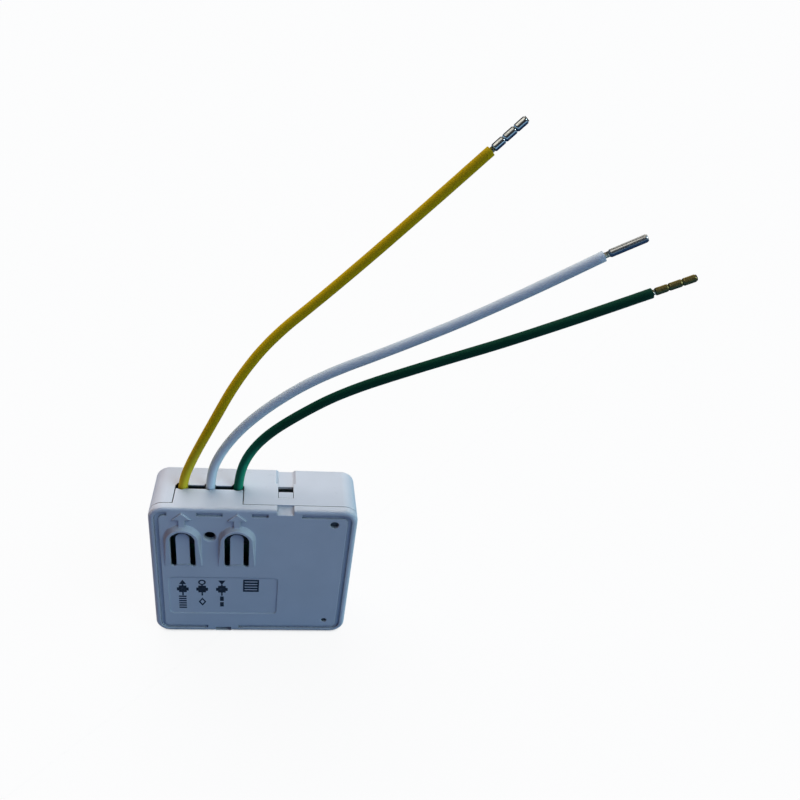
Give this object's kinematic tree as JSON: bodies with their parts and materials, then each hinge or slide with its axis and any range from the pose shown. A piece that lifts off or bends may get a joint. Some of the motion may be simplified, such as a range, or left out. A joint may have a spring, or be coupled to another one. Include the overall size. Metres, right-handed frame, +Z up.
{
  "type": "radio transmitter module",
  "caption": "Small snap-together plastic housing with finger buttons, a pilot light and stiff hook-up leads with crimped ends; it sends a radio signal when a switch or button closes.",
  "frame": {"origin": "middle of the housing's underside; the middle of its depth is taken between the finger guards' crests and the rear face", "axes": "+X to the right seen from the front, +Y from the front face to the rear face, +Z up towards the leads"},
  "size_m": [0.1012, 0.0158, 0.1173],
  "materials": {
    "shell_white": "fine-grained moulded plastic",
    "insulation_yellow": "smooth insulation, yellow",
    "insulation_white": "smooth insulation, white",
    "insulation_green": "smooth insulation, dark green",
    "copper_strands": "bare stranded copper",
    "tinned_sleeve": "bright tinned metal",
    "brass_sleeve": "bright brass-coloured metal",
    "board_green": "board with green lacquer",
    "board_copper": "copper trace",
    "switch_black": "black moulded plastic",
    "switch_button": "dark moulded plastic",
    "sheet_steel": "thin bright sheet steel",
    "cell_steel": "brushed nickel-plated steel",
    "cell_cap": "brushed nickel-plated steel",
    "gasket_dark": "dark moulded seal",
    "chip_black": "black moulded package",
    "crystal_case": "bright metal case",
    "ceramic_tan": "tan ceramic",
    "resistor_black": "black film",
    "print_dark": "dark marking ink",
    "solder": "bright solder",
    "lamp_clear": "clear resin on a white base"
  },
  "bodies": {
    "module": {"rear_shell": "shell_white", "front_cover": "shell_white", "circuit_board": "board_green", "left_switch_base": "switch_black", "right_switch_base": "switch_black", "left_switch_frame": "sheet_steel", "right_switch_frame": "sheet_steel", "indicator_led": "lamp_clear", "coin_cell_can": "cell_steel", "coin_cell_cap": "cell_cap", "coin_cell_gasket": "gasket_dark", "battery_clip": "sheet_steel", "battery_contact": "sheet_steel", "microcontroller": "chip_black", "radio_chip": "chip_black", "crystal": "crystal_case", "antenna_trace": "board_copper", "capacitors": "ceramic_tan", "resistors": "resistor_black", "solder_joints": "solder", "yellow_lead": "insulation_yellow", "white_lead": "insulation_white", "green_lead": "insulation_green", "yellow_core": "copper_strands", "white_core": "copper_strands", "green_core": "copper_strands", "yellow_ferrule": "tinned_sleeve", "white_ferrule": "tinned_sleeve", "green_ferrule": "brass_sleeve"},
    "left_tongue": {"left_push_tongue": "shell_white"},
    "right_tongue": {"right_push_tongue": "shell_white"},
    "left_switch_plunger": {"left_plunger": "switch_button"},
    "right_switch_plunger": {"right_plunger": "switch_button"}
  },
  "joints": [
    {"name": "left_press", "type": "hinge", "parent": "module", "child": "left_tongue", "pos_m": [-0.01505, -0.005, 0.0225], "axis": [-1, 0, 0], "range_deg": [0, 2.8], "stiffness_Nm_per_rad": 0.1},
    {"name": "left_switch_travel", "type": "slide", "parent": "module", "child": "left_switch_plunger", "axis": [0, 1, 0], "range_m": [0, 0.00025], "stiffness_N_per_m": 1000},
    {"name": "right_press", "type": "hinge", "parent": "module", "child": "right_tongue", "pos_m": [-0.00355, -0.005, 0.0225], "axis": [-1, 0, 0], "range_deg": [0, 2.8], "stiffness_Nm_per_rad": 0.1},
    {"name": "right_switch_travel", "type": "slide", "parent": "module", "child": "right_switch_plunger", "axis": [0, 1, 0], "range_m": [0, 0.00025], "stiffness_N_per_m": 1000}
  ],
  "couplings": [
    {"joint": "left_press", "follows": "left_switch_travel", "rad_per_m": 195.4},
    {"joint": "right_press", "follows": "right_switch_travel", "rad_per_m": 195.4}
  ]
}
